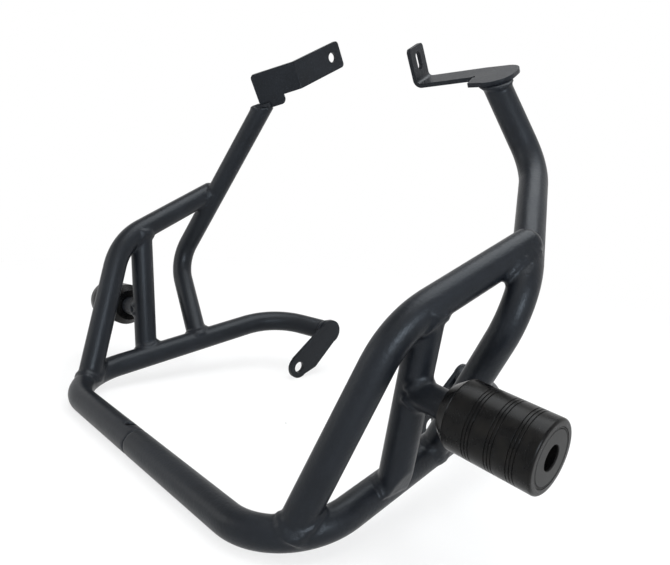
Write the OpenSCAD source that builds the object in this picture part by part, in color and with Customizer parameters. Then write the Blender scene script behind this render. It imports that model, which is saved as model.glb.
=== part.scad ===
// Engine crash bars for a motorcycle: two welded tube halves that meet on an inner sleeve in the
// front cross tube. The [left, right] lists hold what differs between the halves.
// X is across the machine with the left half on +X, the front is -Y, Z is up.

/* [Tubes] */
// Outside diameter of the lower tube and the hoop
tube_d = 25.4; // [22:0.1:28]
// Outside diameter of the strut
strut_d = 25; // [20:0.5:25]
// Outside diameter of the uprights
upright_d = 24; // [20:0.5:26]
// Wall of all tubes
tube_wall = 2; // [1.5:0.1:3]
// Thickness of the weld metal that closes a tube end
end_wall = 4; // [2:0.5:6]

/* [Lower tube] */
// Half of the width between the two front corners, to the tube's centre line
half_width = 198.5; // [180:1:220]
// Length of the side rail, from the front corner to the rear corner
rail_len = 274.5; // [255:1:295]
// How much closer to the middle the rear corner is than the front corner
rail_toe_in = 19; // [0:1:30]
// Bend radius of the front corner, to the centre line
front_bend_r = 60; // [50:1:70]
// Bend radius of the rear corner, to the centre line
rear_bend_r = 75; // [60:1:85]
// Angle by which the tail behind the rear corner points to the rear
tail_sweep = 28.3; // [20:0.5:35]
// Angle by which the tail points down
tail_drop = 11; // [5:0.5:16]

/* [Seam] */
// Place of the seam across the machine
seam_x = -15; // [-30:1:30]
// Length of the sleeve inside the cross tube
sleeve_len = 100; // [70:1:120]
// Wall of the sleeve
sleeve_wall = 2.5; // [2:0.1:4]
// Gap all round between the sleeve and the cross tube
sleeve_gap = 0.15; // [0.05:0.05:0.3]
// Distance from the seam to the locking screw
screw_from_seam = 16; // [10:1:30]
// Angle of the locking screw behind the top of the tube
screw_lean = 23; // [0:1:45]
// Diameter of the locking screw
screw_d = 8; // [6:0.5:8]

/* [Hoop] */
// Angle on the front corner's arc at which the hoop stands
hoop_foot_turn = 39; // [25:1:55]
// Corner of the hoop from the front corner: outwards, to the rear and up
hoop_corner_from = [17.5, 99, 137];
// Bend radius of the hoop, to the centre line
hoop_bend_r = 70; // [55:1:75]

/* [Strut] */
// Place of the strut's foot behind the front corner
strut_foot_y = 101; // [90:1:115]
// How far the strut's foot stands outside the rail's centre line
strut_foot_out = 10; // [4:0.5:11]
// Height of the strut's end above the rail's centre line
strut_foot_up = 5; // [3:0.5:6]
// Place of the strut's top behind the hoop's corner
strut_top_run = 29.5; // [26:0.5:40]

/* [Uprights] */
// Place of the upright's foot behind the front corner
upright_foot_y = 164; // [150:1:175]
// Lower corner of the left upright from the front corner: outwards, to the rear and up
left_knee_from = [58, 186, 138.5];
// Upper corner of the left upright from the front corner
left_shoulder_from = [-10.5, 309, 212];
// Top of the left upright from the front corner
left_top_from = [-50.5, 308, 285.5];
// Corner of the right upright from its front corner
right_knee_from = [72, 195, 82];
// Top of the right upright from its front corner
right_top_from = [-23.5, 288, 272.5];
// Bend radius of the left upright's lower corner
knee_bend_r = 52; // [40:1:55]
// Bend radius of the left upright's upper corner
shoulder_bend_r = 47; // [35:1:60]
// Bend radius of the right upright's corner
right_bend_r = 44; // [35:1:60]
// Distance from each upright's lower corner to the hoop
hoop_joint_run = [58.5, 101.5];
// How far the hoop's end sits outside each upright's centre line
hoop_joint_out = [5.3, 7.8];
// How far the hoop's end sits above each upright's centre line
hoop_joint_up = [5.5, 6];
// How far the hoop stops short of the middle of each upright
hoop_short = 12; // [8:0.5:13]

/* [Left bracket] */
// Lean of both brackets to the front, which is level on the machine
bracket_lean = 18; // [10:0.5:24]
// Thickness of the left bracket
left_plate_t = 4; // [3:0.5:6]
// Swing of the arm to the front
arm_swing = 10; // [0:0.5:15]
// Distance from the left upright to the riser
arm_len = 85; // [70:1:100]
// Width of the arm and its riser
arm_w = 25; // [20:0.5:30]
// Distance of the arm's front edge behind the middle of the upright
arm_back = 8; // [4:0.5:10]
// Radius of the head's outer end
head_r = 18; // [15:0.5:22]
// Height of the riser above the plate
riser_h = 33; // [28:1:45]
// Outer radius of the fold
riser_fold_r = 8; // [6:0.5:10]
// Height of the slot's middle above the plate
slot_up = 19; // [17:0.5:22]
// Width of the slot
slot_w = 8.5; // [6:0.5:10]
// Length of the slot
slot_len = 17; // [12:0.5:18]

/* [Right bracket] */
// Thickness of the right bracket
right_plate_t = 4; // [3:0.5:6]
// Height of the strap
strap_h = 32.5; // [28:0.5:40]
// Height of the strap's lower edge above the upright's end
strap_up = 8; // [5:0.5:12]
// Length of the first panel
panel_1_len = 53; // [45:1:65]
// Length of the second panel
panel_2_len = 76; // [66:1:90]
// Direction of the first panel, from straight across to the rear
panel_1_turn = 47; // [35:1:60]
// Direction of the second panel, from straight across to the rear
panel_2_turn = 90; // [75:1:95]
// Length of the foot on which the strap stands
foot_len = 31; // [26:1:38]
// How far the foot hangs over the upright's end
foot_drop = 2.8; // [1:0.2:5]
// Diameter of the bolt hole
strap_hole_d = 12; // [8:0.5:14]
// Distance from the strap's end to the middle of the bolt hole
strap_hole_in = 15.5; // [12:0.5:24]
// Thickness of the metal that closes the right upright's end
upright_cap = 4; // [2:0.5:6]

/* [Rear tabs] */
// Distance from the middle plane to the middle of each tab
tab_x = 107; // [100:1:115]
// Thickness of the tabs
tab_t = 5; // [4:0.5:8]
// Radius of the tab's welded end
tab_top_r = 15.5; // [14:0.5:18]
// Radius of the tab's bolted end
tab_tip_r = 14; // [12:0.5:17]
// Distance between the centres of the two ends
tab_len = 64; // [55:1:72]
// Slope of the tab below the rail
tab_slope = 28.3; // [24:0.5:34]
// Diameter of the bolt hole
tab_hole_d = 14; // [10:0.5:16]

/* [Sliders] */
// Distance from the strut's centre line to the collar
boss_reach = [29.5, 33.5];
// Height of each slider on its strut, as a part of the strut's length
slider_height = [0.54, 0.32];
// Diameter of the welded boss
boss_d = 22; // [18:0.5:24]
// Depth of the threaded hole in the boss
boss_thread = 13; // [10:0.5:14]
// Room that the bolt's end leaves in the threaded hole
bolt_end_gap = 1.5; // [1:0.5:3]
// Length of the collar between boss and slider
collar_len = 17; // [12:1:20]
// Diameter of the collar
collar_d = 44; // [38:0.5:46]
// Length of the slider
slider_len = 62; // [52:1:70]
// Diameter of the slider at its inner end
slider_inner_d = 46.6; // [44:0.2:52]
// Diameter of the slider at its outer end
slider_d = 48.6; // [46:0.2:54]
// Rounding of the slider's outer edge
slider_edge_r = 2.5; // [1:0.5:4]
// Depth of the grooves
groove_depth = 0.8; // [0.4:0.1:1.2]
// Width of the grooves
groove_w = 0.9; // [0.6:0.1:1.2]
// Distance between the grooves of a group
groove_pitch = 2.3; // [2:0.1:3]
// Diameter of the end cap
cap_d = 40; // [36:0.5:42]
// Thickness of the end cap
cap_t = 1.5; // [1:0.1:2.5]
// Diameter of the opening that the bolt goes in through
well_d = 17.2; // [16.6:0.2:19]
// Depth of that opening
well_depth = 32; // [26:1:40]
// Diameter of the slider bolt
bolt_d = 10; // [8:0.5:10]

/* [Welds] */
// Size of the weld beads
bead = 2.6; // [2:0.1:4]

/* [Hidden] */
$fn = 48;
LEFT = 0;
RIGHT = 1;
POWDER_COAT = [0.13, 0.14, 0.15];
NYLON = [0.09, 0.09, 0.09];
STEEL = [0.32, 0.33, 0.34];
FAR = 400;
// A bend is this much thinner than its straight lengths, which run a little way into it
BEND_SLIM = 0.05;
BEND_LAP = 1.2;

tube_r = tube_d / 2;
strut_r = strut_d / 2;
upright_r = upright_d / 2;

// Vectors and the points of the tubes, all as seen on the left side

function unit(v) = v / norm(v);
function turn(a, b, c) = acos(unit(b - a) * unit(c - b));
function tangent(a, b, c, r) = r * tan(turn(a, b, c) / 2);
function along_line(a, b, run) = a + unit(b - a) * run;

front_corner = [half_width, 0, 0];
hoop_corner = front_corner + hoop_corner_from;
left_knee = front_corner + left_knee_from;
left_shoulder = front_corner + left_shoulder_from;
left_top = front_corner + left_top_from;
right_knee = front_corner + right_knee_from;
right_top = front_corner + right_top_from;
rear_corner = [half_width - rail_toe_in, rail_len, 0];
tail_dir = [-cos(tail_sweep) * cos(tail_drop), sin(tail_sweep) * cos(tail_drop), -sin(tail_drop)];
tab_face_x = tab_x + tab_t / 2;
tail_end = rear_corner + tail_dir * (rear_corner.x - tab_face_x) / -tail_dir.x;
function rail_at(y) = along_line(front_corner, rear_corner, y * norm(rear_corner - front_corner) / rail_len);

front_run = tangent([0, 0, 0], front_corner, rear_corner, front_bend_r);
arc_centre = [half_width - front_run, front_bend_r, 0];
hoop_foot = arc_centre + front_bend_r * [cos(hoop_foot_turn), -sin(hoop_foot_turn), 0];
knee = [left_knee, right_knee];
above_knee = [left_shoulder, right_top];
function hoop_end(side) = along_line(knee[side], above_knee[side], hoop_joint_run[side])
    + [hoop_joint_out[side], 0, hoop_joint_up[side]];
strut_foot = rail_at(strut_foot_y) + [strut_foot_out, 0, 0];
function strut_top(side) = along_line(hoop_corner, hoop_end(side), strut_top_run);

function cross_start(side) = [side == LEFT ? seam_x : -seam_x, 0, 0];
function lower_points(side) = [cross_start(side), front_corner, rear_corner, tail_end + tail_dir * tube_r];
lower_bends = [0, front_bend_r, rear_bend_r, 0];
function hoop_stop(side, add = 0) = along_line(hoop_end(side), hoop_corner, hoop_short - add);
function hoop_points(side) = [hoop_foot, hoop_corner, hoop_stop(side)];
hoop_bends = [0, hoop_bend_r, 0];
function strut_start(side, lower = 0) = along_line(strut_foot, strut_top(side), strut_foot_up - lower);
function strut_points(side, lower = 0) = [strut_start(side, lower), strut_top(side)];
strut_bends = [0, 0];
upright_foot = rail_at(upright_foot_y);
upright_tops = [left_top, right_top];
upright_run_out = 20;
function run_out(a, b) = b + unit(b - a) * upright_run_out;
function upright_points(side) = side == LEFT
    ? [upright_foot, left_knee, left_shoulder, run_out(left_shoulder, left_top)]
    : [upright_foot, right_knee, run_out(right_knee, right_top)];
function upright_bends(side) = side == LEFT
    ? [0, knee_bend_r, shoulder_bend_r, 0]
    : [0, right_bend_r, 0];

// The pose in which the bars stand by themselves, on the cross tube and the tips of the rear tabs

tab_top = [tab_x, tail_end.y, tail_end.z];
tab_hole = tab_top + tab_len * [0, -cos(tab_slope), -sin(tab_slope)];
rest_pitch = asin((tab_tip_r - tube_r) / norm([tab_hole.y, tab_hole.z])) - atan2(tab_hole.z, tab_hole.y);
function reach_of(v) = v.y * cos(rest_pitch) - v.z * sin(rest_pitch);
strap_corner_r = 4.5;
across_1 = [cos(panel_1_turn), sin(panel_1_turn) * cos(bracket_lean), sin(panel_1_turn) * sin(bracket_lean)];
across_2 = [cos(panel_2_turn), sin(panel_2_turn) * cos(bracket_lean), sin(panel_2_turn) * sin(bracket_lean)];
bracket_up = [0, -sin(bracket_lean), cos(bracket_lean)];
strap_corner = [0, right_top.y, right_top.z] + across_1 * panel_1_len
    + across_2 * (panel_2_len - strap_corner_r) + bracket_up * (strap_up + strap_corner_r);
strap_reach = reach_of(strap_corner) + strap_corner_r * norm([reach_of(across_2), reach_of(bracket_up)]);
rear_reach = max(reach_of(tab_top) + tab_top_r, strap_reach);

module at_rest() {
    translate([0, (tube_r - rear_reach) / 2, tube_r])
        rotate([rest_pitch, 0, 0])
            children();
}

module on_side(side) {
    at_rest()
        mirror([side == RIGHT ? 1 : 0, 0, 0])
            children();
}

// Straight and bent rods, from which every tube is made

module frame_at(p, x, z) {
    y = cross(z, x);
    multmatrix([
        [x.x, y.x, z.x, p.x],
        [x.y, y.y, z.y, p.y],
        [x.z, y.z, z.z, p.z],
        [0, 0, 0, 1]])
        children();
}

module rod(a, b, r) {
    z = unit(b - a);
    side = abs(z.z) < 0.9 ? [0, 0, 1] : [0, 1, 0];
    frame_at(a, unit(cross(side, z)), z)
        cylinder(h = norm(b - a), r = r);
}

module bend(a, b, c, bend_r, r) {
    before = unit(b - a);
    after = unit(c - b);
    inward = unit(after - before * (after * before));
    start = b - before * tangent(a, b, c, bend_r);
    frame_at(start + inward * bend_r, -inward, cross(-inward, before))
        rotate_extrude(angle = turn(a, b, c))
            translate([bend_r, 0])
                circle(r = r - BEND_SLIM);
}

module bent_rod(p, bends, r) {
    last = len(p) - 1;
    trim = [for (i = [0 : last])
        i == 0 || i == last ? 0 : tangent(p[i - 1], p[i], p[i + 1], bends[i]) - BEND_LAP];
    for (i = [0 : last - 1])
        rod(along_line(p[i], p[i + 1], trim[i]), along_line(p[i + 1], p[i], trim[i + 1]), r);
    if (last > 1)
        for (i = [1 : last - 1])
            bend(p[i - 1], p[i], p[i + 1], bends[i], r);
}

function with_ends(p, first, final) = [for (i = [0 : len(p) - 1])
    i == 0 ? along_line(p[0], p[1], first) :
    i == len(p) - 1 ? along_line(p[i], p[i - 1], final) : p[i]];

// A tube whose bore stops short of each end by a given length, or runs out of it

module tube(p, bends, r, first, final) {
    difference() {
        bent_rod(p, bends, r);
        bent_rod(with_ends(p, first, final), bends, r - tube_wall);
    }
}

module lower_solid(side, grow = 0) {
    bent_rod(lower_points(side), lower_bends, tube_r + grow);
}

module hoop_solid(side, grow = 0) {
    bent_rod(hoop_points(side), hoop_bends, tube_r + grow);
}

module strut_solid(side, grow = 0) {
    bent_rod(strut_points(side, grow), strut_bends, strut_r + grow);
}

module upright_solid(side, grow = 0) {
    bent_rod(upright_points(side), upright_bends(side), upright_r + grow);
}

// What is cut off at the rear tab, and above the end of an upright

module beyond_tab() {
    translate([tab_face_x - FAR, rail_len - rear_bend_r, -FAR / 2])
        cube([FAR, FAR, FAR]);
}

// The left upright is cut level with the machine, the right one level with the rails

module at_upright_end(side) {
    translate(upright_tops[side])
        rotate([side == LEFT ? bracket_lean : 0, 0, 0])
            children();
}

module above_upright_end(side, lower = 0) {
    at_upright_end(side)
        translate([-FAR / 2, -FAR / 2, -lower])
            cube([FAR, FAR, FAR / 2]);
}

screw_x = -seam_x + screw_from_seam;

module at_screw() {
    translate([screw_x, 0, 0])
        rotate([-screw_lean, 0, 0])
            children();
}

// The four tubes of a half

module lower_tube(side) {
    color(POWDER_COAT)
        on_side(side)
            difference() {
                tube(lower_points(side), lower_bends, tube_r, -1, -1);
                beyond_tab();
                if (side == RIGHT)
                    at_screw()
                        cylinder(h = tube_d, r = screw_d / 2 + 0.5);
            }
}

module hoop(side) {
    color(POWDER_COAT)
        on_side(side)
            difference() {
                tube(hoop_points(side), hoop_bends, tube_r, end_wall, end_wall);
                lower_solid(side);
                upright_solid(side);
            }
}

module strut(side) {
    color(POWDER_COAT)
        on_side(side)
            difference() {
                tube(strut_points(side), strut_bends, strut_r, end_wall, end_wall);
                lower_solid(side);
                hoop_solid(side);
            }
}

module upright(side) {
    color(POWDER_COAT)
        on_side(side)
            difference() {
                upright_solid(side);
                difference() {
                    bent_rod(
                        with_ends(upright_points(side), end_wall, 0),
                        upright_bends(side),
                        upright_r - tube_wall);
                    if (side == RIGHT)
                        above_upright_end(side, upright_cap);
                }
                lower_solid(side);
                above_upright_end(side);
            }
}

// The left bracket is one folded plate: a head on the upright, an arm and a riser with a slot.
// It is drawn with the middle of the upright's end at the origin and the arm along -X.

head_front = 4.5;
head_rear = 13;
head_in = 20.5;
head_lip = 9;
head_offset = [-2, 1];
notch_r = 2;
riser_corner_r = 4;

module left_plate_outline() {
    translate([0, head_front])
        circle(r = head_r);
    translate([0, head_rear])
        circle(r = head_r);
    translate([0, head_front])
        square([head_r, head_rear - head_front]);
    difference() {
        polygon([
            [0, head_front - head_r],
            [-head_in, -head_lip],
            [-head_in - notch_r, arm_back],
            [riser_fold_r - arm_len, arm_back],
            [riser_fold_r - arm_len, arm_back + arm_w],
            [-head_in, arm_back + arm_w],
            [0, head_rear + head_r]]);
        translate([-head_in - notch_r, arm_back])
            circle(r = notch_r);
    }
}

module riser_profile() {
    translate([riser_fold_r - arm_len, riser_fold_r])
        difference() {
            intersection() {
                circle(r = riser_fold_r);
                translate([-riser_fold_r, -riser_fold_r])
                    square(riser_fold_r);
            }
            circle(r = riser_fold_r - left_plate_t);
        }
    translate([-arm_len, riser_fold_r])
        square([left_plate_t, left_plate_t + riser_h - riser_fold_r]);
}

module riser_face() {
    top = left_plate_t + riser_h;
    square([arm_w, top - riser_corner_r]);
    translate([riser_corner_r, 0])
        square([arm_w - 2 * riser_corner_r, top]);
    for (x = [riser_corner_r, arm_w - riser_corner_r])
        translate([x, top - riser_corner_r])
            circle(r = riser_corner_r);
}

module slot_face() {
    for (s = [-1, 1])
        translate([0, s * (slot_len - slot_w) / 2])
            circle(d = slot_w);
    square([slot_w, slot_len - slot_w], center = true);
}

module left_top_bracket() {
    color(POWDER_COAT)
        on_side(LEFT)
            at_upright_end(LEFT)
                rotate([0, 0, arm_swing])
                    translate(head_offset) {
                        linear_extrude(left_plate_t)
                            left_plate_outline();
                        intersection() {
                            translate([0, arm_back + arm_w, 0])
                                rotate([90, 0, 0])
                                    linear_extrude(arm_w)
                                        riser_profile();
                            translate([-arm_len - 1, arm_back, 0])
                                rotate([90, 0, 90])
                                    linear_extrude(riser_fold_r + 2)
                                        difference() {
                                            riser_face();
                                            translate([arm_w / 2, left_plate_t + slot_up])
                                                slot_face();
                                        }
                        }
                    }
}

// The right bracket is a strap folded once, standing on edge with its foot on the upright's end

strap_back = 1.3;
foot_r = 6;
foot_bead = 6;

module panel_1_face() {
    translate([strap_corner_r - strap_back, strap_up])
        square([panel_1_len + strap_back - strap_corner_r, strap_h]);
    translate([-strap_back, strap_up])
        square([strap_corner_r, strap_h - strap_corner_r]);
    translate([strap_corner_r - strap_back, strap_up + strap_h - strap_corner_r])
        circle(r = strap_corner_r);
    translate([-strap_back, -foot_drop])
        square([foot_len + strap_back - foot_r, strap_up + foot_drop + 1]);
    translate([foot_len - foot_r, foot_r - foot_drop])
        circle(r = foot_r);
    translate([foot_len - 2 * foot_r, foot_r - foot_drop])
        square([2 * foot_r, strap_up + foot_drop + 1 - foot_r]);
}

module panel_2_face() {
    difference() {
        union() {
            square([panel_2_len - strap_corner_r, strap_h]);
            translate([0, strap_corner_r])
                square([panel_2_len, strap_h - 2 * strap_corner_r]);
            for (y = [strap_corner_r, strap_h - strap_corner_r])
                translate([panel_2_len - strap_corner_r, y])
                    circle(r = strap_corner_r);
        }
        translate([panel_2_len - strap_hole_in, strap_h / 2])
            circle(d = strap_hole_d);
    }
}

// On the right upright's end, with X along the first panel

module at_strap() {
    translate(right_top)
        rotate([bracket_lean, 0, 0])
            rotate([0, 0, 180 - panel_1_turn])
                children();
}

module panel_1() {
    rotate([90, 0, 0])
        linear_extrude(right_plate_t, center = true)
            panel_1_face();
}

module right_top_bracket() {
    color(POWDER_COAT)
        on_side(RIGHT)
            difference() {
                at_strap() {
                    panel_1();
                    translate([panel_1_len, 0, strap_up]) {
                        cylinder(h = strap_h, d = right_plate_t);
                        rotate([0, 0, panel_1_turn - panel_2_turn])
                            rotate([90, 0, 0])
                                linear_extrude(right_plate_t, center = true)
                                    panel_2_face();
                    }
                }
                translate([right_top.x - FAR / 4, right_top.y - FAR / 4, right_top.z - FAR / 4])
                    cube([FAR / 2, FAR / 2, FAR / 4]);
            }
}

// A rear tab is a flat plate across the end of the tail, with the bolt hole in its tip

tab_heel = [26, -8.5];
tab_inset = 0.8;

module tab_face() {
    // Drawn in Y and Z of the rail, with the welded end at the origin
    tip = tab_len * [-cos(tab_slope), -sin(tab_slope)];
    across = [-sin(tab_slope), cos(tab_slope)];
    difference() {
        union() {
            circle(r = tab_top_r);
            translate(tip)
                circle(r = tab_tip_r);
            polygon([
                across * (tab_top_r - tab_inset),
                tip + across * (tab_tip_r + tab_inset),
                tip,
                tip - [0, tab_tip_r - tab_inset],
                tip + tab_heel,
                -across * (tab_top_r - tab_inset)]);
        }
        translate(tip)
            circle(d = tab_hole_d);
    }
}

module rear_tab(side) {
    color(POWDER_COAT)
        on_side(side)
            translate([tab_x, tab_top.y, tab_top.z])
                rotate([90, 0, 90])
                    linear_extrude(tab_t, center = true)
                        tab_face();
}

// The slider stands straight out from its strut. All its pieces are turned about one axis, which
// is drawn here with the outer face at zero and the strut below.

slider_edge = slider_d / 2;
cap_recess = cap_t + 0.5;
seat_gap = 0.1;
shank_r = bolt_d / 2;
head_h = bolt_d;
head_d = 1.6 * bolt_d;
washer_t = 1.6;
groove_places = [0.25, 0.51, 0.77];
function slider_axis(side) = strut_foot + (strut_top(side) - strut_foot) * slider_height[side];
boss_face = -slider_len - collar_len;
function slider_reach(side) = slider_axis(side).x + boss_reach[side] - boss_face;

module on_slider_axis(side) {
    axis = slider_axis(side);
    translate([slider_reach(side), axis.y, axis.z])
        rotate([0, 90, 0])
            children();
}

module slider_boss(side) {
    color(POWDER_COAT)
        on_side(side)
            difference() {
                on_slider_axis(side)
                    translate([0, 0, boss_face - boss_reach[side]])
                        cylinder(h = boss_reach[side], d = boss_d);
                strut_solid(side);
                on_slider_axis(side)
                    translate([0, 0, boss_face - boss_thread])
                        cylinder(h = boss_thread + 1, r = shank_r + 0.02);
            }
}

module slider_collar(side) {
    inner_r = boss_d / 2 + 4;
    cone_len = collar_len / 2;
    color(NYLON)
        on_side(side)
            on_slider_axis(side)
                translate([0, 0, boss_face])
                    rotate_extrude()
                        polygon([
                            [shank_r + 0.4, 0],
                            [inner_r, 0],
                            [collar_d / 2, cone_len],
                            [collar_d / 2, collar_len],
                            [shank_r + 0.4, collar_len]]);
}

module slider(side) {
    lean = (slider_d - slider_inner_d) / 2 / slider_len;
    color(NYLON)
        on_side(side)
            on_slider_axis(side)
                difference() {
                    rotate_extrude()
                        difference() {
                            union() {
                                polygon([
                                    [shank_r + 0.4, -slider_len],
                                    [slider_inner_d / 2, -slider_len],
                                    [slider_edge, -slider_edge_r],
                                    [slider_edge - slider_edge_r, 0],
                                    [shank_r + 0.4, 0]]);
                                translate([slider_edge - slider_edge_r, -slider_edge_r])
                                    circle(r = slider_edge_r);
                            }
                            for (place = groove_places, k = [-1 : 1]) {
                                z = -slider_len + place * slider_len + k * groove_pitch;
                                surface_r = slider_edge + lean * z;
                                translate([surface_r - groove_depth, z - groove_w / 2])
                                    square([2 * groove_depth, groove_w]);
                            }
                        }
                    translate([0, 0, -cap_recess])
                        cylinder(h = cap_recess + 1, d = cap_d + 2 * seat_gap);
                    translate([0, 0, -well_depth])
                        cylinder(h = well_depth + 1, d = well_d);
                }
}

module end_cap(side) {
    color(STEEL)
        on_side(side)
            on_slider_axis(side)
                translate([0, 0, -cap_recess])
                    difference() {
                        cylinder(h = cap_t, d = cap_d);
                        translate([0, 0, -1])
                            cylinder(h = cap_t + 2, d = well_d);
                    }
}

module slider_bolt(side) {
    shank_len = slider_len - well_depth - washer_t + collar_len + boss_thread - bolt_end_gap;
    color(STEEL)
        on_side(side)
            on_slider_axis(side)
                translate([0, 0, -well_depth + washer_t])
                    difference() {
                        union() {
                            cylinder(h = head_h, d = head_d);
                            translate([0, 0, -shank_len - washer_t])
                                cylinder(h = shank_len + washer_t, r = shank_r);
                        }
                        translate([0, 0, head_h / 2])
                            cylinder(h = head_h, d = 0.92 * bolt_d, $fn = 6);
                    }
}

module bolt_washer(side) {
    color(STEEL)
        on_side(side)
            on_slider_axis(side)
                translate([0, 0, -well_depth])
                    difference() {
                        cylinder(h = washer_t, d = head_d + 0.4);
                        translate([0, 0, -1])
                            cylinder(h = washer_t + 2, r = shank_r + 0.2);
                    }
}

// Weld beads fill the corner between two pieces, within the bead's size of both

module boss_solid(side, grow = 0) {
    on_slider_axis(side)
        translate([0, 0, boss_face - boss_reach[side]])
            cylinder(h = strut_r + 3 * bead, r = boss_d / 2 + grow);
}

module weld_between() {
    difference() {
        intersection() {
            children(0);
            children(1);
        }
        children(2);
        children(3);
    }
}

module welds(side) {
    color(POWDER_COAT)
        on_side(side) {
            weld_between() {
                rod(hoop_foot, hoop_corner, tube_r + bead);
                bend(cross_start(side), front_corner, rear_corner, front_bend_r, tube_r + bead);
                rod(hoop_foot, hoop_corner, tube_r);
                bend(cross_start(side), front_corner, rear_corner, front_bend_r, tube_r);
            }
            weld_between() {
                rod(hoop_corner, hoop_stop(side, bead), tube_r + bead);
                rod(knee[side], above_knee[side], upright_r + bead);
                rod(hoop_corner, hoop_stop(side), tube_r);
                upright_solid(side);
            }
            weld_between() {
                strut_solid(side, bead);
                rod(rail_at(front_bend_r), upright_foot, tube_r + bead);
                strut_solid(side);
                rod(rail_at(front_bend_r), upright_foot, tube_r);
            }
            weld_between() {
                strut_solid(side, bead);
                rod(hoop_corner, hoop_stop(side), tube_r + bead);
                strut_solid(side);
                hoop_solid(side);
            }
            weld_between() {
                rod(upright_foot, knee[side], upright_r + bead);
                rod(front_corner, rear_corner, tube_r + bead);
                rod(upright_foot, knee[side], upright_r);
                rod(front_corner, rear_corner, tube_r);
            }
            weld_between() {
                boss_solid(side, bead);
                strut_solid(side, bead);
                boss_solid(side);
                strut_solid(side);
            }
            difference() {
                tail_within(tab_face_x, bead, tube_r + bead);
                tail_within(tab_face_x - 1, bead + 2, tube_r);
            }
            if (side == LEFT)
                plate_bead();
            else
                foot_weld();
        }
}

// The length of the tail that lies between the tab and a plane further out

module tail_within(from, wide, r) {
    intersection() {
        rod(rear_corner, tail_end + tail_dir * tube_r, r);
        translate([from, rail_len, -FAR / 4])
            cube([wide, FAR / 4, FAR / 2]);
    }
}

module plate_bead() {
    difference() {
        intersection() {
            rod(left_shoulder, run_out(left_shoulder, left_top), upright_r + bead);
            at_upright_end(LEFT)
                translate([-FAR / 4, -FAR / 4, -bead])
                    cube([FAR / 2, FAR / 2, bead]);
        }
        rod(left_shoulder, run_out(left_shoulder, left_top), upright_r);
    }
}

module foot_weld() {
    difference() {
        intersection() {
            rod(right_knee, run_out(right_knee, right_top), upright_r);
            at_strap()
                translate([-upright_r, 0, 0])
                    rotate([0, 90, 0])
                        cylinder(h = 2 * upright_r, r = foot_bead);
            at_upright_end(RIGHT)
                translate([-FAR / 4, -FAR / 4, 0])
                    cube([FAR / 2, FAR / 2, FAR / 4]);
        }
        at_strap()
            panel_1();
    }
}

// The sleeve and the screw that lock the two halves together

sleeve_r = tube_r - tube_wall - sleeve_gap;

module joining_sleeve() {
    color(STEEL)
        at_rest()
            difference() {
                translate([seam_x - sleeve_len / 2, 0, 0])
                    rotate([0, 90, 0])
                        difference() {
                            cylinder(h = sleeve_len, r = sleeve_r);
                            translate([0, 0, -1])
                                cylinder(h = sleeve_len + 2, r = sleeve_r - sleeve_wall);
                        }
                mirror([1, 0, 0])
                    at_screw()
                        cylinder(h = tube_d, r = screw_d / 2 + 0.02);
            }
}

module locking_screw() {
    screw_len = tube_wall + sleeve_gap + sleeve_wall + 1;
    color(STEEL)
        on_side(RIGHT)
            at_screw()
                translate([0, 0, tube_r - 1 - screw_len])
                    difference() {
                        cylinder(h = screw_len, d = screw_d);
                        translate([0, 0, screw_len / 2])
                            cylinder(h = screw_len, d = 0.55 * screw_d, $fn = 6);
                    }
}

lower_tube(LEFT);  // left_lower_tube
hoop(LEFT);  // left_hoop
strut(LEFT);  // left_strut
upright(LEFT);  // left_upright
left_top_bracket();
rear_tab(LEFT);  // left_rear_tab
slider_boss(LEFT);  // left_slider_boss
slider_collar(LEFT);  // left_slider_collar
slider(LEFT);  // left_slider
end_cap(LEFT);  // left_end_cap
slider_bolt(LEFT);  // left_slider_bolt
bolt_washer(LEFT);  // left_bolt_washer
welds(LEFT);  // left_welds
lower_tube(RIGHT);  // right_lower_tube
hoop(RIGHT);  // right_hoop
strut(RIGHT);  // right_strut
upright(RIGHT);  // right_upright
right_top_bracket();
rear_tab(RIGHT);  // right_rear_tab
slider_boss(RIGHT);  // right_slider_boss
slider_collar(RIGHT);  // right_slider_collar
slider(RIGHT);  // right_slider
end_cap(RIGHT);  // right_end_cap
slider_bolt(RIGHT);  // right_slider_bolt
bolt_washer(RIGHT);  // right_bolt_washer
welds(RIGHT);  // right_welds
joining_sleeve();
locking_screw();
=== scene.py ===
import math

import bmesh
import bpy
from mathutils import Matrix, Vector, noise
from mathutils.bvhtree import BVHTree


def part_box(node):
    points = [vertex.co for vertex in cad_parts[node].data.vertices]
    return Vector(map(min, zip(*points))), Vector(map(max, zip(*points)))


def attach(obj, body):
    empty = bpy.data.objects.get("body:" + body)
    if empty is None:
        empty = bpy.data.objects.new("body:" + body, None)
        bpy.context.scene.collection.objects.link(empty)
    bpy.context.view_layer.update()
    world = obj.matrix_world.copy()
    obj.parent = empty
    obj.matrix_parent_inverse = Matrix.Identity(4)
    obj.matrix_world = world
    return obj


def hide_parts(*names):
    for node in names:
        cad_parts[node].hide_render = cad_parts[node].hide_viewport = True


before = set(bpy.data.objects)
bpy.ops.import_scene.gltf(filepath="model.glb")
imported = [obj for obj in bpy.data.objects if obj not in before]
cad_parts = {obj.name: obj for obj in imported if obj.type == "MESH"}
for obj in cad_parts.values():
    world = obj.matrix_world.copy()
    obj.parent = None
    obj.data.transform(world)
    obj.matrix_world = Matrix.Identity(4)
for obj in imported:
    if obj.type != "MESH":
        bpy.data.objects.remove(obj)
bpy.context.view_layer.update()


# Powder coat
# All tubes, plates and welds of a half are steel under one coat of satin black powder with a
# slight slate tint. It is sprayed on after welding and baked, which leaves a fine orange peel.

MM = 0.001
COAT_DARK = (0.0040, 0.0048, 0.0064)
COAT_LIGHT = (0.0084, 0.0100, 0.0134)
COAT_TINT = (0.90, 0.95, 1.0, 1)
PEEL_DEPTH = 0.24 * MM


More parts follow.
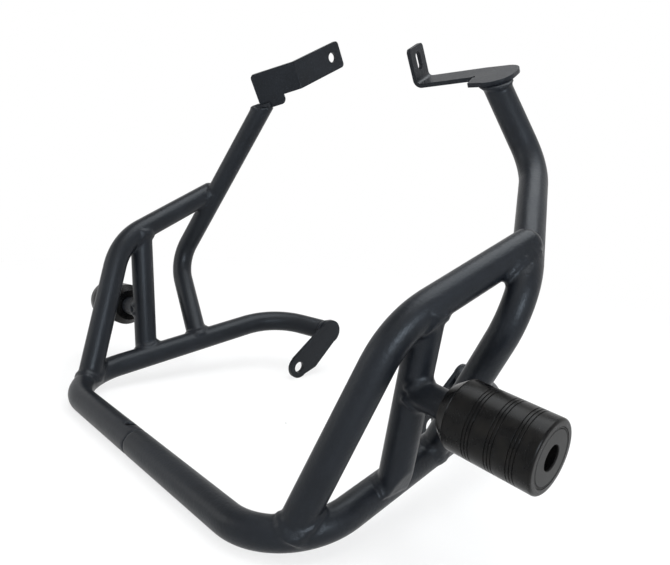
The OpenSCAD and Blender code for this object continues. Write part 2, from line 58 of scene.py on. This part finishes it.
class Value:
    """A socket of one material that can be written in sums: 0.3 + 0.1 * dust adds its nodes."""

    def __init__(self, material, socket):
        self.material = material
        self.socket = socket

    def node(self, kind, settings=None, **inputs):
        """A new node; an input goes by its name, or by an underscore and its number."""
        node = self.material.node_tree.nodes.new(kind)
        for name, setting in (settings or {}).items():
            setattr(node, name, setting)
        for name, value in inputs.items():
            key = int(name[1:]) if name[1:].isdigit() else name.replace("_", " ")
            if isinstance(value, Value):
                self.material.node_tree.links.new(value.socket, node.inputs[key])
            else:
                node.inputs[key].default_value = value
        return node

    def math(self, operation, a, b):
        node = self.node("ShaderNodeMath", {"operation": operation}, _0=a, _1=b)
        return Value(self.material, node.outputs[0])

    def __add__(self, other):
        return self.math("ADD", self, other)

    def __radd__(self, other):
        return self.math("ADD", other, self)

    def __mul__(self, other):
        return self.math("MULTIPLY", self, other)

    def __rmul__(self, other):
        return self.math("MULTIPLY", other, self)

    def noise(self, size, detail):
        """Noise from 0 to 1 whose grains are about this many metres across."""
        node = self.node("ShaderNodeTexNoise", Vector=self, Scale=1 / size, Detail=detail)
        return Value(self.material, node.outputs["Fac"])

    def steps(self, low, high):
        """This value stretched so that low becomes 0 and high becomes 1, and held there."""
        node = self.node(
            "ShaderNodeMapRange", {"clamp": True}, Value=self, From_Min=low, From_Max=high)
        return Value(self.material, node.outputs["Result"])

    def blend(self, dark, light):
        """A colour between two, by this value."""
        node = self.node(
            "ShaderNodeMix", {"data_type": "RGBA"}, _0=self, _6=(*dark, 1), _7=(*light, 1))
        return Value(self.material, node.outputs[2])

    def relief(self, depth, strength):
        """A normal whose bumps are this value times a depth in metres."""
        node = self.node("ShaderNodeBump", Height=self, Distance=depth, Strength=strength)
        return Value(self.material, node.outputs["Normal"])


def new_material(name, settings):
    """A material with constants on its shader; gives its shader and the place on the object."""
    material = bpy.data.materials.new(name)
    material.use_nodes = True
    shader = material.node_tree.nodes["Principled BSDF"]
    for key, value in settings.items():
        shader.inputs[key].default_value = value
    place = material.node_tree.nodes.new("ShaderNodeTexCoord").outputs["Object"]
    return material, shader, Value(material, place)


def feed(material, shader, **values):
    """Links values to the inputs of a shader."""
    for key, value in values.items():
        material.node_tree.links.new(value.socket, shader.inputs[key.replace("_", " ")])


powder_coat, shader, place = new_material(
    "powder_coat", {"Specular IOR Level": 0.22, "Specular Tint": COAT_TINT})
cloud = place.noise(30 * MM, 4).steps(0.32, 0.68)
# Sparse pale specks in the coat's colour are painted glints of its speckled sheen, and they make it
# rougher there too.
painted_glints = place.noise(1.6 * MM, 3).steps(0.60, 0.78) * place.noise(16 * MM, 2).steps(0.42, 0.62)
grain = place.noise(0.9 * MM, 1)
peel = place.noise(2.6 * MM, 2)
feed(
    powder_coat, shader,
    Base_Color=(cloud * 0.5 + grain * 0.3 + painted_glints * 0.5).blend(COAT_DARK, COAT_LIGHT),
    Roughness=0.29 + 0.08 * cloud + 0.10 * grain + 0.10 * painted_glints,
    Normal=(grain * 0.5 + peel).relief(PEEL_DEPTH, 0.8),
)


# Welded halves
# Each half is one skin: lower tube, hoop, strut, upright and slider boss, joined by hand-laid
# fillet welds and sprayed together, so that the paint flows over every joint. Only the outside
# is built, and the boss has a ring of weld drops in place of the solid's bead.

SIDES = ("left", "right")
OUTWARDS = {"left": 1, "right": -1}
SKINNED = ("lower_tube", "hoop", "strut", "upright")
SKIN_GRID = 1.25 * MM
SKIN_SMOOTHING = 10
TUBE_RADIUS = 12.7 * MM

SAME_POINT = 0.002 * MM
# The wall of a bore faces the wall across it, at a distance between these two
BORE_NEAR = 14 * MM
BORE_FAR = 26 * MM
BORE_RAY_START = 0.1 * MM
BORE_FACING = -0.5
HOLE_RIM = 40 * MM
HOLE_DEPTH = 6 * MM
HOLE_RAY_START = 0.5 * MM

# The left rail's axis at the strut, the way its outer side faces, and how far out that side is
RAIL_AT = Vector((191.5, -59.0, 31.0)) * MM
RAIL_OUTWARDS = Vector((0.9, 0, -0.436)).normalized()
RAIL_SKIN = 12.9 * MM

# Where a hoop's axis is cut, its direction there, and how far the hoop is carried on
HOOP_ENDS = {
    "left": (Vector((234.78, 27.39, 217.85)) * MM, Vector((0.149, 0.897, 0.416)), 3 * MM),
    "right": (Vector((-234.87, 31.55, 218.78)) * MM, Vector((-0.145, 0.9005, 0.410)), 13 * MM)}
HOOP_OVERLAP = 3 * MM
NOSE_LENGTH = 9 * MM

SLIDER_DOWN = math.radians(5.7)
SLIDER_BACK = math.radians(3.0)
SLIDER_SHIFT = Vector((-1.2, 1.8, -1.2)) * MM
SLIDER_LENGTH = 62 * MM

BOSS_RADIUS = 11 * MM
BOSS_START = 72 * MM
BOSS_END = 101 * MM
DROPS = 44
DROP_RADIUS = 2.6 * MM
DROP_UNEVEN = 0.16
DROP_BEAT = 5.3

# The skin is uneven on the welds; beside them it runs out between these two distances
RIPPLE = 0.3 * MM
RIPPLE_LENGTH = 3.4 * MM
RIPPLE_FULL = 1.2 * MM
RIPPLE_END = 3.6 * MM


def on_side(vector, side):
    """A vector given for the left side, mirrored for the right one."""
    return Vector((OUTWARDS[side] * vector.x, vector.y, vector.z))


def middle_of(points):
    """The mean of some points."""
    return sum(points, Vector()) / len(points)


def spokes(level, rise, count):
    """Directions evenly spaced round the axis that is square to level and rise."""
    turns = [2 * math.pi * i / count for i in range(count)]
    return [level * math.cos(turn) + rise * math.sin(turn) for turn in turns]


def slider_frame(side, count):
    """The middle of a slider's outer face, the direction it points in, and spokes round that."""
    low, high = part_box(f"{side}_slider")
    direction = on_side(Vector((
        math.cos(SLIDER_DOWN) * math.cos(SLIDER_BACK),
        math.sin(SLIDER_BACK),
        -math.sin(SLIDER_DOWN))), side).normalized()
    face = (low + high) / 2 + on_side(SLIDER_SHIFT, side) + direction * SLIDER_LENGTH / 2
    level = direction.cross(Vector((0, 0, 1))).normalized()
    return face, direction, spokes(level, level.cross(direction), count)


def faces_of(node):
    """The closed shape of a node, with its faces joined along their edges."""
    shape = bmesh.new()
    shape.from_mesh(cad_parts[node].data)
    bmesh.ops.remove_doubles(shape, verts=shape.verts, dist=SAME_POINT)
    bmesh.ops.recalc_face_normals(shape, faces=shape.faces)
    return shape


def groups_of(parts, beside):
    """Sorts edges or faces into groups that hang together; beside lists a part's neighbours."""
    left = dict.fromkeys(parts)
    groups = []
    while left:
        group = []
        reach = [left.popitem()[0]]
        while reach:
            part = reach.pop()
            group.append(part)
            for other in beside(part):
                if other in left:
                    del left[other]
                    reach.append(other)
        groups.append(group)
    return groups


def split_large_faces(shape):
    """Cuts every face with more than four corners into triangles."""
    bmesh.ops.triangulate(shape, faces=[face for face in shape.faces if len(face.verts) > 4])


def open_edges(shape):
    return [edge for edge in shape.edges if edge.is_boundary]


def close_openings(shape):
    bmesh.ops.holes_fill(shape, edges=open_edges(shape), sides=0)
    split_large_faces(shape)


def deepen(shape, rim, tree):
    """Carries the wall of a drilled hole on into the tube, so that its bottom lies in the dark."""
    points = [vert.co for vert in dict.fromkeys(vert for edge in rim for vert in edge.verts)]
    middle = middle_of(points)
    arms = [point - middle for point in points]
    normals = (a.cross(b) for a in arms for b in arms)
    inwards = max(normals, key=lambda normal: normal.length).normalized()
    if tree.ray_cast(middle + inwards * HOLE_RAY_START, inwards, BORE_FAR)[0] is None:
        inwards = -inwards
    added = bmesh.ops.extrude_edge_only(shape, edges=rim)["geom"]
    verts = [part for part in added if isinstance(part, bmesh.types.BMVert)]
    bmesh.ops.translate(shape, verts=verts, vec=inwards * HOLE_DEPTH)


def without_bore(shape):
    """Takes the walls of the bore out of a tube, closes its ends and deepens its drilled holes."""
    tree = BVHTree.FromBMesh(shape)
    bore = []
    for face in shape.faces:
        start = face.calc_center_median() + face.normal * BORE_RAY_START
        hit, normal, index, distance = tree.ray_cast(start, face.normal, BORE_FAR)
        if hit and distance > BORE_NEAR and normal.dot(face.normal) < BORE_FACING:
            bore.append(face)
    bmesh.ops.delete(shape, geom=bore, context="FACES")
    rims = groups_of(
        open_edges(shape), lambda edge: [other for vert in edge.verts for other in vert.link_edges])
    for rim in rims:
        if sum(edge.calc_length() for edge in rim) < HOLE_RIM:
            deepen(shape, rim, tree)
    close_openings(shape)
    return shape


def cut_at_rail(strut, side):
    """Takes off what a strut's foot has beyond the outer side of the rail it is notched over."""
    normal = on_side(RAIL_OUTWARDS, side)
    bmesh.ops.bisect_plane(
        strut, geom=strut.verts[:] + strut.edges[:] + strut.faces[:],
        plane_co=on_side(RAIL_AT, side) + normal * RAIL_SKIN, plane_no=normal, clear_outer=True)
    close_openings(strut)


def turned_to(direction):
    """The rotation that brings the Z axis to a direction."""
    return direction.to_track_quat("Z", "Y").to_matrix().to_4x4()


def add_rod(shape, start, end, radius):
    """Adds a plain round bar from one point to another."""
    bmesh.ops.create_cone(
        shape, cap_ends=True, segments=64, radius1=radius, radius2=radius,
        depth=(end - start).length,
        matrix=Matrix.Translation((start + end) / 2) @ turned_to(end - start))


def add_nose(shape, side):
    """Carries a hoop on and rounds its end off, where it is pressed to the upright's side."""
    cut, direction, extra = HOOP_ENDS[side]
    tip = cut + direction * extra
    add_rod(shape, cut - direction * HOOP_OVERLAP, tip, TUBE_RADIUS)
    place = Matrix.Translation(tip) @ turned_to(direction)
    place = place @ Matrix.Diagonal((1, 1, NOSE_LENGTH / TUBE_RADIUS, 1))
    bmesh.ops.create_uvsphere(
        shape, u_segments=48, v_segments=24, radius=TUBE_RADIUS, matrix=place)


def add_boss(shape, strut, side):
    """A boss square to its slider, with a ring of weld drops laid round its foot on the strut."""
    face, direction, around = slider_frame(side, DROPS)
    start = face - direction * BOSS_START
    add_rod(shape, start, face - direction * BOSS_END, BOSS_RADIUS)
    tree = BVHTree.FromBMesh(strut)
    for i, spoke in enumerate(around):
        spot = tree.ray_cast(start + spoke * BOSS_RADIUS, -direction, BOSS_END)[0]
        if spot is not None:
            size = DROP_RADIUS * (1 + DROP_UNEVEN * math.sin(DROP_BEAT * i))
            bmesh.ops.create_icosphere(
                shape, subdivisions=2, radius=size, matrix=Matrix.Translation(spot))


def leave_out_weld(beads, spot):
    """Leaves out the weld that lies nearest to a point."""
    islands = groups_of(
        beads.faces, lambda face: [other for edge in face.edges for other in edge.link_faces])

    def gap(island):
        return (middle_of([face.calc_center_median() for face in island]) - spot).length

    bmesh.ops.delete(beads, geom=min(islands, key=gap), context="FACES")


def mesh_from(name, shape):
    mesh = bpy.data.meshes.new(name)
    shape.to_mesh(mesh)
    shape.free()
    return mesh


def add_shape(joined, shape):
    """Adds one shape to another."""
    mesh = mesh_from("part", shape)
    joined.from_mesh(mesh)
    bpy.data.meshes.remove(mesh)


def piece_from(name, shape):
    """A visible object with this shape."""
    obj = bpy.data.objects.new(name, mesh_from(name, shape))
    bpy.context.scene.collection.objects.link(obj)
    return obj


def add_modifier(obj, kind, **settings):
    modifier = obj.modifiers.new(kind.lower(), kind)
    for name, value in settings.items():
        setattr(modifier, name, value)


def bake(obj):
    """Turns the modifiers of a piece into its mesh."""
    shown = obj.evaluated_get(bpy.context.evaluated_depsgraph_get())
    mesh = bpy.data.meshes.new_from_object(shown)
    obj.modifiers.clear()
    obj.data = mesh


def paint(obj, material):
    obj.data.materials.clear()
    obj.data.materials.append(material)


def put_in(obj, material, slot, *nodes):
    """Paints a piece, lets it ride on the bars and stand for these nodes."""
    paint(obj, material)
    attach(obj, "root")
    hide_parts(*nodes)


for side in SIDES:
    joined = bmesh.new()
    for node in SKINNED:
        tube = without_bore(faces_of(f"{side}_{node}"))
        if node == "strut":
            add_boss(joined, tube, side)
            cut_at_rail(tube, side)
        add_shape(joined, tube)
    beads = faces_of(f"{side}_welds")
    low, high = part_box(f"{side}_slider_boss")
    foot = (low + high) / 2
    foot.x = min(low.x, high.x, key=abs)
    leave_out_weld(beads, foot)
    weld_tree = BVHTree.FromBMesh(beads)
    add_shape(joined, beads)
    add_nose(joined, side)
    half = piece_from(f"{side}_half", joined)
    add_modifier(half, "REMESH", mode="VOXEL", voxel_size=SKIN_GRID, use_smooth_shade=True)
    add_modifier(half, "SMOOTH", factor=0.5, iterations=SKIN_SMOOTHING)
    bake(half)
    normals = [vertex.normal.copy() for vertex in half.data.vertices]
    for vertex, normal in zip(half.data.vertices, normals):
        spot, facing, index, distance = weld_tree.find_nearest(vertex.co, RIPPLE_END)
        if spot is not None:
            share = min(1, (RIPPLE_END - distance) / (RIPPLE_END - RIPPLE_FULL))
            vertex.co += normal * share * RIPPLE * noise.noise(vertex.co / RIPPLE_LENGTH)
    put_in(half, powder_coat, "powder_coat", *(f"{side}_{node}" for node in SKINNED),
           f"{side}_slider_boss", f"{side}_welds")


# Brackets and rear tabs
# They are cut from 4 to 5 mm steel plate, with their edges broken before welding. The left
# bracket is folded once up to its slotted riser, the right one is a strap with one fold.

EDGE_BREAK = 0.6 * MM
BROKEN_FROM = math.radians(16)
SAME_PLANE = math.radians(1)
FLAT_AREA = 60 * MM * MM

for node in ("left_top_bracket", "right_top_bracket", "left_rear_tab", "right_rear_tab"):
    shape = faces_of(node)
    bmesh.ops.dissolve_limit(shape, angle_limit=SAME_PLANE, verts=shape.verts, edges=shape.edges)
    split_large_faces(shape)
    plate = piece_from(node + "_plate", shape)
    plate.data.shade_smooth()
    add_modifier(
        plate, "BEVEL", width=EDGE_BREAK, segments=3, limit_method="ANGLE",
        angle_limit=BROKEN_FROM)
    bake(plate)
    facing = [tuple(round(value, 2) for value in face.normal) for face in plate.data.polygons]
    areas = dict.fromkeys(facing, 0)
    for normal, face in zip(facing, plate.data.polygons):
        areas[normal] += face.area
    for normal, face in zip(facing, plate.data.polygons):
        face.use_smooth = areas[normal] < FLAT_AREA
    put_in(plate, powder_coat, "powder_coat", node)


# Sliders
# Each slider is turned from a bar of black plastic, with three groups of three fine grooves and
# a rounded outer edge. It stands square to its leaning strut, so it points a little down.

SLIDER_RADIUS = 25 * MM
GROOVE_GROUPS = (0.28, 0.54, 0.78)
GROOVE_STEP = 2.3 * MM
GROOVE_WIDTH = 0.75 * MM
GROOVE_DEPTH = 0.5 * MM
# Points across a groove, as (shares of its width, shares of its depth)
GROOVE = ((-0.65, 0), (-0.5, 0.15), (-0.2, 1), (0.2, 1), (0.5, 0.15), (0.65, 0))
EDGE_ROUND = 2.0 * MM
EDGE_STEPS = 7
CHAMFER = 0.4 * MM
WELL_RADIUS = 8.6 * MM
WELL_DEPTH = 32 * MM
SEAT_RADIUS = 20.2 * MM
SEAT_DEPTH = 1.2 * MM
BORE_RADIUS = 5.4 * MM
AROUND = 144
TURNED_EDGE = math.radians(24)
PLASTIC_DARK = (0.0022, 0.0022, 0.0023)
PLASTIC_LIGHT = (0.0065, 0.0058, 0.0050)
MARK_STRETCH = (1, 0.02, 0.02)


def quarter(steps):
    """Angles from 0 to 90 degrees."""
    return [math.radians(90 * i / steps) for i in range(steps + 1)]


def add_band(shape, near, far):
    """Joins two rings of points by a band of faces."""
    for i in range(len(near)):
        j = (i + 1) % len(near)
        shape.faces.new((near[i], near[j], far[j], far[i]))


def turned(name, outline, side):
    """A body turned about a slider's axis from (distance behind its face, radius) points."""
    face, direction, around = slider_frame(side, AROUND)
    shape = bmesh.new()
    rings = [[shape.verts.new(face - direction * depth + spoke * radius) for spoke in around]
             for depth, radius in outline]
    for near, far in zip(rings, rings[1:] + rings[:1]):
        add_band(shape, near, far)
    bmesh.ops.recalc_face_normals(shape, faces=shape.faces)
    body = piece_from(name, shape)
    body.data.shade_smooth()
    body.data.set_sharp_from_angle(angle=TURNED_EDGE)
    return body


slider_outline = [
    (WELL_DEPTH, WELL_RADIUS), (SEAT_DEPTH, WELL_RADIUS), (SEAT_DEPTH, SEAT_RADIUS),
    (0, SEAT_RADIUS)]
slider_outline += [
    (EDGE_ROUND * (1 - math.cos(turn)), SLIDER_RADIUS - EDGE_ROUND * (1 - math.sin(turn)))
    for turn in quarter(EDGE_STEPS)]
for group in reversed(GROOVE_GROUPS):
    for step in (-1, 0, 1):
        middle = (1 - group) * SLIDER_LENGTH + step * GROOVE_STEP
        slider_outline += [
            (middle + GROOVE_WIDTH * across, SLIDER_RADIUS - GROOVE_DEPTH * sunk)
            for across, sunk in GROOVE]
slider_outline += [
    (SLIDER_LENGTH - CHAMFER, SLIDER_RADIUS), (SLIDER_LENGTH, SLIDER_RADIUS - CHAMFER),
    (SLIDER_LENGTH, BORE_RADIUS), (WELL_DEPTH, BORE_RADIUS)]

turned_plastic, shader, place = new_material("turned_plastic", {"Specular IOR Level": 0.12})
stretched = place.node(
    "ShaderNodeMapping", {"vector_type": "POINT"}, Vector=place, Scale=MARK_STRETCH)
marks = Value(turned_plastic, stretched.outputs[0]).noise(0.35 * MM, 2)
handling = place.noise(11 * MM, 4).steps(0.42, 0.72)
scuffs = place.noise(2.2 * MM, 3).steps(0.62, 0.80) * handling
feed(
    turned_plastic, shader,
    Base_Color=handling.blend(PLASTIC_DARK, PLASTIC_LIGHT),
    Roughness=0.24 + 0.08 * handling + 0.06 * marks + 0.12 * scuffs,
    Normal=(marks + scuffs * 1.5).relief(0.06 * MM, 0.7),
)

for side in SIDES:
    slider = turned(f"{side}_slider_body", slider_outline, side)
    put_in(slider, turned_plastic, "machined_nylon", f"{side}_slider")


# Slider collars
# A turned cone of the same plastic sits between each slider and its boss. The bolt that holds
# the slider runs through it.

CONE_RADIUS = 18.2 * MM
CONE_END = SLIDER_LENGTH + 9.5 * MM

collar_outline = [
    (SLIDER_LENGTH, BORE_RADIUS), (SLIDER_LENGTH, SLIDER_RADIUS - CHAMFER),
    (SLIDER_LENGTH + CHAMFER, SLIDER_RADIUS), (CONE_END - CHAMFER / 2, CONE_RADIUS + CHAMFER / 2),
    (CONE_END, CONE_RADIUS - CHAMFER / 2), (CONE_END, BORE_RADIUS)]
for side in SIDES:
    collar = turned(f"{side}_collar_body", collar_outline, side)
    put_in(collar, turned_plastic, "machined_nylon", f"{side}_slider_collar")


# End caps
# A thin dark metal ring is pressed into each slider's face round the bolt's opening. Its rim
# carries one fine turned line, and the face is bare.

CAP_RADIUS = 20 * MM
CAP_FACE = 0.1 * MM
LINE_RADIUS = CAP_RADIUS - 1.2 * MM
LINE_HALF = 0.3 * MM
CAP_DARK = (0.0065, 0.0065, 0.0062)
CAP_LIGHT = (0.013, 0.0125, 0.0118)

cap_metal, shader, place = new_material("cap_metal", {"Specular IOR Level": 0.15})
brushing = place.noise(0.5 * MM, 2)
feed(
    cap_metal, shader,
    Base_Color=(place.noise(9 * MM, 2) * 0.6 + brushing * 0.4).blend(CAP_DARK, CAP_LIGHT),
    Roughness=0.36 + 0.12 * brushing,
    Normal=brushing.relief(0.03 * MM, 0.4),
)

cap_outline = [
    (SEAT_DEPTH, WELL_RADIUS), (CHAMFER, WELL_RADIUS), (CAP_FACE, WELL_RADIUS + CHAMFER),
    (CAP_FACE, LINE_RADIUS - LINE_HALF), (CAP_FACE + 2 * LINE_HALF, LINE_RADIUS),
    (CAP_FACE, LINE_RADIUS + LINE_HALF), (CAP_FACE, CAP_RADIUS - CHAMFER),
    (CHAMFER, CAP_RADIUS), (SEAT_DEPTH, CAP_RADIUS)]
for side in SIDES:
    cap = turned(f"{side}_cap_ring", cap_outline, side)
    put_in(cap, cap_metal, "cap_metal", f"{side}_end_cap")


# Bolts, washers, sleeve and locking screw
# A blackened socket bolt on a washer holds each slider, deep in its bore. The plain steel sleeve
# and its set screw lock the two halves, and show only through the hole in the cross tube.

STEEL_DARK = (0.030, 0.031, 0.033)
STEEL_LIGHT = (0.065, 0.066, 0.068)
SCREW_AXIS = Vector((0, 0.2175, 0.976)).normalized()
SCREW_UPPER = 1.2 * MM
SCREW_SUNK = 2.2 * MM
WASHER_PLAY = 0.01 * MM
WASHER_HOLE = 4.2 * MM
WASHER_RADIUS = 8.2 * MM
HEAD_BOTTOM = WELL_DEPTH - 1.6 * MM - 2 * WASHER_PLAY
HEAD_TOP = HEAD_BOTTOM - 8 * MM
HEAD_RADIUS = 6.5 * MM
HEX_BOTTOM = HEAD_TOP + 4 * MM
HEX_RADIUS = 3.46 * MM
SHANK_RADIUS = 3.95 * MM
SHANK_END = 92 * MM
NEAR_AXIS = 0.05 * MM

dark_steel, shader, place = new_material("dark_steel", {"Metallic": 0.9})
oil = place.noise(3 * MM, 3)
feed(
    dark_steel, shader,
    Base_Color=oil.blend(STEEL_DARK, STEEL_LIGHT),
    Roughness=0.30 + 0.15 * oil,
    Normal=place.noise(0.6 * MM, 1).relief(0.02 * MM, 0.4),
)
paint(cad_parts["joining_sleeve"], dark_steel)

shape = faces_of("locking_screw")
middle = middle_of([vert.co for vert in shape.verts])
for vert in shape.verts:
    if (vert.co - middle).dot(SCREW_AXIS) > SCREW_UPPER:
        vert.co -= SCREW_AXIS * SCREW_SUNK
put_in(piece_from("screw_body", shape), dark_steel, "bolt_steel", "locking_screw")

bolt_outline = [
    (HEX_BOTTOM, NEAR_AXIS), (HEX_BOTTOM, HEX_RADIUS), (HEAD_TOP, HEX_RADIUS),
    (HEAD_TOP, HEAD_RADIUS - CHAMFER), (HEAD_TOP + CHAMFER, HEAD_RADIUS),
    (HEAD_BOTTOM, HEAD_RADIUS), (HEAD_BOTTOM, SHANK_RADIUS), (SHANK_END, SHANK_RADIUS),
    (SHANK_END, NEAR_AXIS)]
washer_outline = [
    (HEAD_BOTTOM + WASHER_PLAY, WASHER_HOLE), (HEAD_BOTTOM + WASHER_PLAY, WASHER_RADIUS),
    (WELL_DEPTH - WASHER_PLAY, WASHER_RADIUS), (WELL_DEPTH - WASHER_PLAY, WASHER_HOLE)]
for side in SIDES:
    bolt = turned(f"{side}_bolt_body", bolt_outline, side)
    put_in(bolt, dark_steel, "bolt_steel", f"{side}_slider_bolt")
    washer = turned(f"{side}_washer_body", washer_outline, side)
    put_in(washer, dark_steel, "bolt_steel", f"{side}_bolt_washer")


# Floor and backdrop
# A white paper sweep: a flat floor that curves up into a wall all round. Seen directly it is
# partly lit by itself, the more the farther out, so that it is plain white in the distance.

FLOOR_RADIUS = 2.6
WALL_HEIGHT = 2.4
SWEEP_RADIUS = 1.2
SWEEP_STEPS = 16
STAGE_AROUND = 96
FLOOR_MIDDLE = 0.001
SEEN_WHITE = 0.75
WHITE_FROM = 0.45
ALL_WHITE = 1.1

profile = [(FLOOR_MIDDLE, 0)]
profile += [
    (FLOOR_RADIUS - SWEEP_RADIUS * (1 - math.sin(turn)), SWEEP_RADIUS * (1 - math.cos(turn)))
    for turn in quarter(SWEEP_STEPS)]
profile += [(FLOOR_RADIUS, WALL_HEIGHT)]
around = spokes(Vector((1, 0, 0)), Vector((0, 1, 0)), STAGE_AROUND)
shape = bmesh.new()
rings = [[shape.verts.new(Vector((0, 0, height)) + spoke * radius) for spoke in around]
         for radius, height in profile]
for inner, outer in zip(rings, rings[1:]):
    add_band(shape, outer, inner)
sweep = piece_from("studio_sweep", shape)
sweep.data.shade_smooth()

paper, shader, place = new_material(
    "paper", {"Base Color": (0.86, 0.86, 0.86, 1), "Roughness": 0.9, "Specular IOR Level": 0.1})
path = place.node("ShaderNodeLightPath")
to_camera, glossy, through = (
    Value(paper, path.outputs[f"Is {ray} Ray"]) for ray in ("Camera", "Glossy", "Transmission"))
length = place.node("ShaderNodeVectorMath", {"operation": "LENGTH"}, _0=place)
away = Value(paper, length.outputs["Value"])
white = SEEN_WHITE + (1 - SEEN_WHITE) * away.steps(WHITE_FROM, ALL_WHITE)
glow = place.node("ShaderNodeEmission", Strength=1.0)
mixed = place.node(
    "ShaderNodeMixShader", _0=(to_camera + glossy + through) * white,
    _1=Value(paper, shader.outputs[0]), _2=Value(paper, glow.outputs[0]))
surface = paper.node_tree.nodes["Material Output"].inputs["Surface"]
paper.node_tree.links.new(mixed.outputs[0], surface)
paint(sweep, paper)


# Light
# A broad lamp overhead and a low cool one to the right of the camera light the bars. Two weak
# warm ones stand above the camera and on its left, and the room is dim.

ROOM_LIGHT = 0.45
LAMPS_AIM_AT = Vector((0, 0, 0.18))


def add_lamp(name, azimuth, elevation, distance, size, power, colour):
    """A round area lamp that faces the bars from an azimuth and elevation in degrees."""
    light = bpy.data.lights.new(name, "AREA")
    light.shape = "DISK"
    light.size = size
    light.energy = power
    light.color = colour
    obj = bpy.data.objects.new(name, light)
    bpy.context.scene.collection.objects.link(obj)
    obj.matrix_world = (
        Matrix.Translation(LAMPS_AIM_AT)
        @ Matrix.Rotation(math.radians(azimuth), 4, "Z")
        @ Matrix.Rotation(math.radians(90 - elevation), 4, "X")
        @ Matrix.Translation((0, 0, distance)))


world = bpy.data.worlds.new("studio")
bpy.context.scene.world = world
world.use_nodes = True
background = world.node_tree.nodes["Background"]
background.inputs["Color"].default_value = (1, 1, 1, 1)
background.inputs["Strength"].default_value = ROOM_LIGHT
add_lamp("key", azimuth=35, elevation=58, distance=1.5, size=1.4, power=5,
         colour=(1.0, 0.96, 0.90))
add_lamp("overhead", azimuth=160, elevation=76, distance=1.7, size=1.7, power=32,
         colour=(0.95, 0.98, 1.0))
add_lamp("window", azimuth=68, elevation=12, distance=1.7, size=0.7, power=16,
         colour=(0.82, 0.91, 1.0))
add_lamp("low_left", azimuth=-35, elevation=15, distance=1.7, size=0.9, power=3,
         colour=(1.0, 0.97, 0.92))


# Camera
# It stands where the photograph was taken from: on the left front, a little above the bars.

CAMERA_AT = (0.4809, -0.3894, 0.2642)
CAMERA_AZIMUTH = 47.2
CAMERA_ELEVATION = 10.23
CAMERA_ROLL = 4.0
LENS = 33.6
SENSOR_WIDTH = 36
CLIP_START = 0.01

camera_data = bpy.data.cameras.new("camera")
camera_data.sensor_width = SENSOR_WIDTH
camera_data.lens = LENS
camera_data.clip_start = CLIP_START
camera = bpy.data.objects.new("camera", camera_data)
bpy.context.scene.collection.objects.link(camera)
camera.matrix_world = (
    Matrix.Translation(CAMERA_AT)
    @ Matrix.Rotation(math.radians(CAMERA_AZIMUTH), 4, "Z")
    @ Matrix.Rotation(math.radians(90 - CAMERA_ELEVATION), 4, "X")
    @ Matrix.Rotation(math.radians(CAMERA_ROLL), 4, "Z"))
bpy.context.scene.camera = camera
bpy.context.scene.view_settings.view_transform = "Standard"
